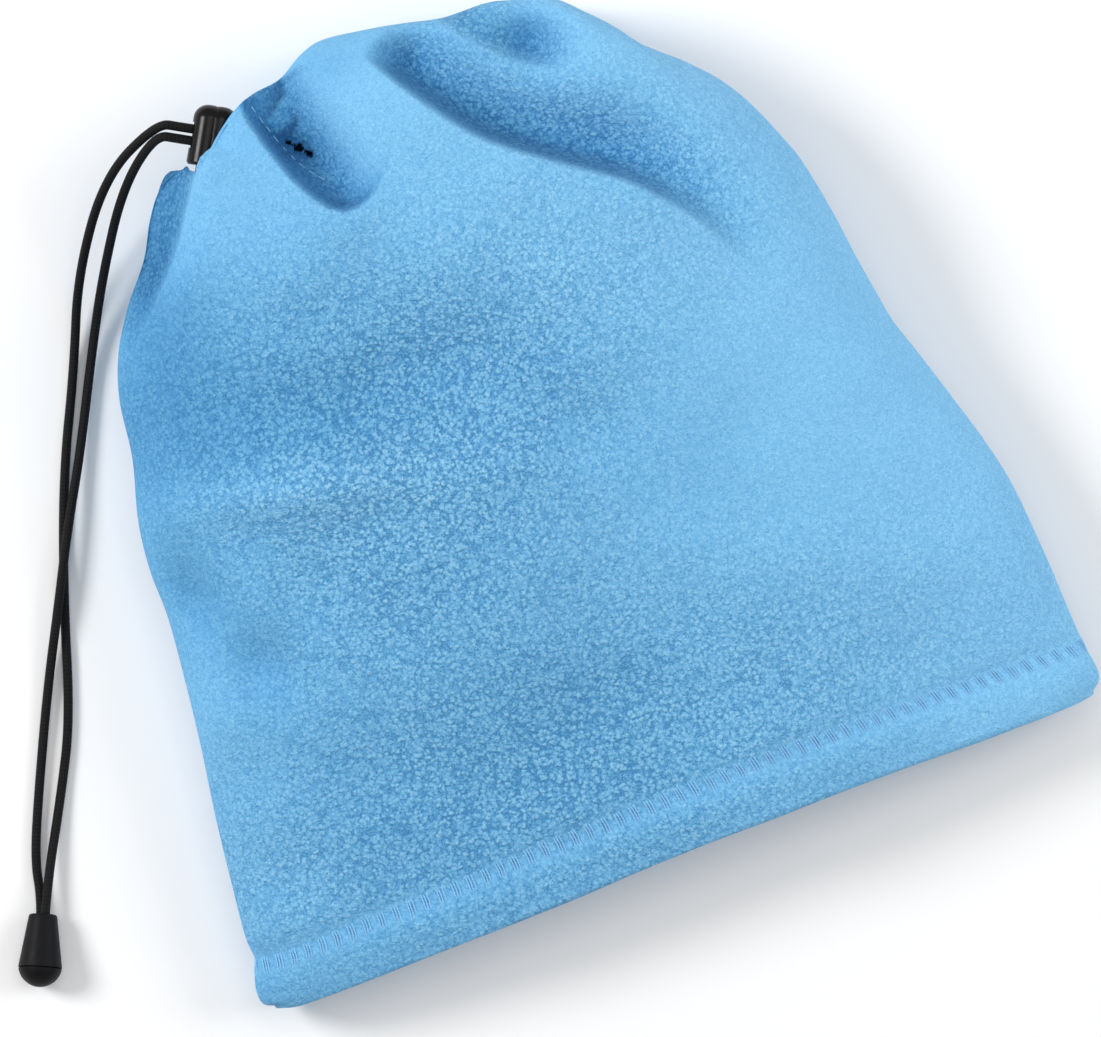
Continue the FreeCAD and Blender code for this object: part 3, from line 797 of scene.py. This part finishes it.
# the gathered hole is a puckered slit
HOLE_CENTRE = (-32.2, 105.3)
HOLE_HALF_LENGTH = 6.4
HOLE_HALF_WIDTH = 1.7
hole_cos = math.cos(math.radians(HOLE_TURN))
hole_sin = math.sin(math.radians(HOLE_TURN))
along_hole = -(X - HOLE_CENTRE[0]) * hole_sin + (Y - HOLE_CENTRE[1]) * hole_cos
across_hole = (X - HOLE_CENTRE[0]) * hole_cos + (Y - HOLE_CENTRE[1]) * hole_sin
pucker = 0.9 + 0.3 * np.sin(along_hole * 1.7)
hole = (across_hole / (HOLE_HALF_WIDTH * pucker)) ** 2 + (along_hole / HOLE_HALF_LENGTH) ** 2 < 1.0
open_cells = hole[:-1, :-1] & hole[1:, :-1] & hole[:-1, 1:] & hole[1:, 1:]
faces = []
# the two skins, without the hole
for row in range(ROWS - 1):
    for k in range(RING):
        if k < COLUMNS - 1 and open_cells[row, k]:
            continue
        m = (k + 1) % RING
        quad = [merged(row, k), merged(row, m), merged(row + 1, m), merged(row + 1, k)]
        quad = list(dict.fromkeys(quad))
        if len(quad) < 3:
            continue
        faces.append(tuple(quad))
        faces.append(tuple(COUNT + v for v in reversed(quad)))
# the hole's edge, from skin to skin
for row in range(ROWS - 1):
    for k in range(COLUMNS - 1):
        if not open_cells[row, k]:
            continue
        here = [(row, k), (row, k + 1), (row + 1, k + 1), (row + 1, k)]
        beside = [(row - 1, k), (row, k + 1), (row + 1, k), (row, k - 1)]
        for side, cell in enumerate(beside):
            if open_cells[cell]:
                continue
            row_a, k_a = here[side]
            row_b, k_b = here[(side + 1) % 4]
            a = row_a * RING + k_a
            b = row_b * RING + k_b
            faces.append((a, b, COUNT + b, COUNT + a))
# the rolled hem: the outer skin's first row, the roll's rows and the inner skin's first row
roll_starts = [0, *(2 * COUNT + row * RING for row in range(ROLL)), COUNT]
for upper, lower in zip(roll_starts, roll_starts[1:]):
    for k in range(RING):
        m = (k + 1) % RING
        faces.append((upper + m, upper + k, lower + k, lower + m))

fleece = mesh_object("fleece_cloth", points, faces, FLEECE)


# painted shade and painted highlight, and grain of the pile, painted by formula
# painted light: the cloth darker at its left side and lighter towards the right and the top
painted_shading = 0.87 + 0.08 * smooth_step(-135, -50, X) + 0.13 * smooth_step(-60, 110, X + 0.4 * Y)
# painted shade in the hollows, around the slit and in the dimple, and painted highlight on the swells:
# change, middle, half width and height, and turn
SHADE_AND_HIGHLIGHT_MARKS = [
    (-0.06, -40, -85, 75, 35, 0), (-0.09, -70, 45, 50, 28, 0), (-0.12, -58, 30, 42, 14, -6),
    (0.12, -70, 11, 40, 8, -14), (-0.06, 20, 5, 22, 50, 40), (0.06, -118, -40, 12, 18, 0),
    (0.11, -118, -88, 24, 42, 0), (-0.12, -108, -6, 9, 17, 15), (-0.08, -98, -34, 10, 14, 20),
    (-0.20, -34, 107, 4, 8, 39), (-0.16, 42, 111, 7, 9, 30), (-0.10, -112, 50, 9, 30, 0),
    (-0.12, -95, 50, 18, 34, -10), (-0.12, -88, 72, 14, 22, -25), (-0.10, -15, 128, 30, 12, 0),
    (-0.10, -32, 106, 7, 12, 39),
]
for change, *mark in SHADE_AND_HIGHLIGHT_MARKS:
    painted_shading += change * bell_curve(*mark)
# painted shade: the folds are darker in their valleys, and most of all just beyond their crests
painted_shading = painted_shading - 0.32 * long_valley - 0.30 * pocket - 0.40 * crease - 0.42 * shoulder
painted_shading = painted_shading - 0.44 * long_edge - 0.48 * pocket_edge
# where the tufts stand out: how much, middle, half width and height
DENSE_MARKS = [
    (1.0, -30, -95, 115, 48), (0.7, -60, 35, 60, 45), (0.5, 0, 20, 50, 40),
    (0.6, -45, -20, 50, 35), (0.25, 50, 60, 60, 45),
]
dense = 1.0 * long_valley + 0.6 * pocket + 0.8 * crease + 0.7 * shoulder
for amount, *mark in DENSE_MARKS:
    dense += amount * bell_curve(*mark)
# the stitches flatten the pile
dense = dense * (1 - 0.6 * np.exp(-((from_hem - 15.5) / 5.0) ** 2))
LEAST_GRAIN = 0.10
grain = LEAST_GRAIN + np.clip(dense, 0, 1)

# painted shade takes away more red than blue
SHADE_TINT = (1.9, 1.1, 0.75)


def on_cloth(front_values, elsewhere):
    """One value for each of the cloth's points: the front's own, and one value elsewhere."""
    ring = ring_of(front_values, np.full_like(front_values, elsewhere)).reshape(-1)
    return np.concatenate((ring, ring, np.tile(ring[:RING], ROLL)))


# painted shade and painted highlight for each of the cloth's points, with an even value off the front
shading_per_point = on_cloth(np.clip(painted_shading, 0.1, 1.2), 0.97)
colours = np.ones((len(shading_per_point), 4))
colours[:, :3] = shading_per_point[:, None] ** SHADE_TINT
fleece.data.attributes.new("painted_shading", "FLOAT_COLOR", "POINT").data.foreach_set("color", colours.ravel())
grains = on_cloth(grain, 0.7)
fleece.data.attributes.new("grain", "FLOAT", "POINT").data.foreach_set("value", grains)

# ---------------------------------------------------------------- stitching
def thread_bars(name, tracks, nodes, radius):
    """Short thread stitches, each along a track of points."""
    sides = 6
    all_points = []
    all_faces = []
    for track in tracks:
        track = np.asarray(track)
        first = sum(len(p) for p in all_points)
        share = np.linspace(-1, 1, len(track))
        radii = radius * np.sqrt(np.clip(1.0 - 0.8 * share ** 6, 0.1, 1))
        all_points.append(tube_rings(track, radii, sides))
        all_faces += tube_faces(len(track), sides, first)
    obj = mesh_object(name, np.concatenate(all_points), all_faces, THREAD)
    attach(obj, "gaiter")
    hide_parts(*nodes)
    return obj


outer_normals = ring_normals(outer)
heights_up = distances_up(outer) + ROLL_REACH


def ring_at(distance, grid):
    """The grid's values round the tube at a distance up from the hem edge."""
    result = np.zeros((RING, 3))
    for k in range(RING):
        for axis in range(3):
            result[k, axis] = np.interp(distance, heights_up[:, k], grid[:, k, axis])
    return result


def round_tube(at, values):
    """The value at a distance round the tube, from values at each of a ring's points."""
    closed = np.vstack((values, values[:1]))
    return np.array([np.interp(at, round_length, closed[:, axis]) for axis in range(3)])


STITCH_STEP = 4.8
STITCH_LEAN = -1.9
STITCH_THREADS = (0.0, 0.8, 1.7)
STITCH_LIFT = 0.25
STITCH_DIP = 0.7
# places up a stitch, from its lower end to its upper one
STITCH_SHARES = (-1.0, -0.6, 0.0, 0.6, 1.0)
levels = [STITCH_LINE + STITCH_HALF * s for s in STITCH_SHARES]
level_points = [ring_at(level, outer) for level in levels]
level_normals = [ring_at(level, outer_normals) for level in levels]
middle_ring = level_points[len(levels) // 2]
middle_ring = np.vstack((middle_ring, middle_ring[:1]))
steps_round = np.linalg.norm(np.diff(middle_ring, axis=0), axis=1)
round_length = np.concatenate(([0.0], np.cumsum(steps_round)))
whole_round = round_length[-1]
stitch_count = int(whole_round / STITCH_STEP)
tracks = []
for stitch in range(stitch_count):
    for thread in STITCH_THREADS:
        place = (stitch + 0.1) * whole_round / stitch_count + thread + random.uniform(-0.08, 0.08)
        track = []
        for s, level, direction in zip(STITCH_SHARES, level_points, level_normals):
            at = (place + STITCH_LEAN * s / 2) % whole_round
            lift = STITCH_LIFT - STITCH_DIP * abs(s) ** 3
            track.append(round_tube(at, level) + round_tube(at, direction) * lift)
        track = np.array(track)
        track[:, 2] = np.maximum(track[:, 2], 0.35)
        tracks.append(track)
hem_stitches = thread_bars("hem_stitches", tracks, ["hem_stitching"], 0.21)


def surface_height(x, y):
    """The front's height at a point in plan, from the nearest grid point."""
    nearest = np.argmin((X - x) ** 2 + (Y - y) ** 2)
    return front.reshape(-1)[nearest]


# a running stitch down the casing, whose ends go into the cloth
CASING_SEAM = [(-41.5, 122), (-39.5, 115), (-37.2, 108), (-33.5, 100), (-28.5, 93.5)]
STITCH_RISE = (-0.1, 0.15, 0.22, 0.15, -0.1)
STITCH_AND_GAP = len(STITCH_RISE) + 1
casing_line = rounded_line(CASING_SEAM, 200)
casing_line = evenly(np.column_stack((casing_line, np.zeros(len(casing_line)))), 0.6)
tracks = []
for start in range(0, len(casing_line) - len(STITCH_RISE), STITCH_AND_GAP):
    track = casing_line[start: start + len(STITCH_RISE)].copy()
    for point, rise in zip(track, STITCH_RISE):
        point[2] = surface_height(point[0], point[1]) + rise
    tracks.append(track)
casing_stitches = thread_bars("casing_stitches", tracks, ["casing_stitching"], 0.19)

# slanting stitches over the seam down the middle of the back
BACK_SEAM_START = -109.0
BACK_SEAM_END = 98.0
BACK_SEAM_STEP = 2.6
tracks = []
for y in np.arange(BACK_SEAM_START, BACK_SEAM_END, BACK_SEAM_STEP):
    tracks.append([(-1.9, y, 3.1), (-0.8, y + 0.5, 3.5), (0.8, y + 1.2, 3.5), (1.9, y + 1.7, 3.1)])
thread_bars("back_seam_stitches", tracks, ["back_seam_stitching"], 0.24)
for node in ("cord_exit_stitching_a", "cord_exit_stitching_b"):
    show_as(node, THREAD)

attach(fleece, "gaiter")
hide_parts("fleece_tube")
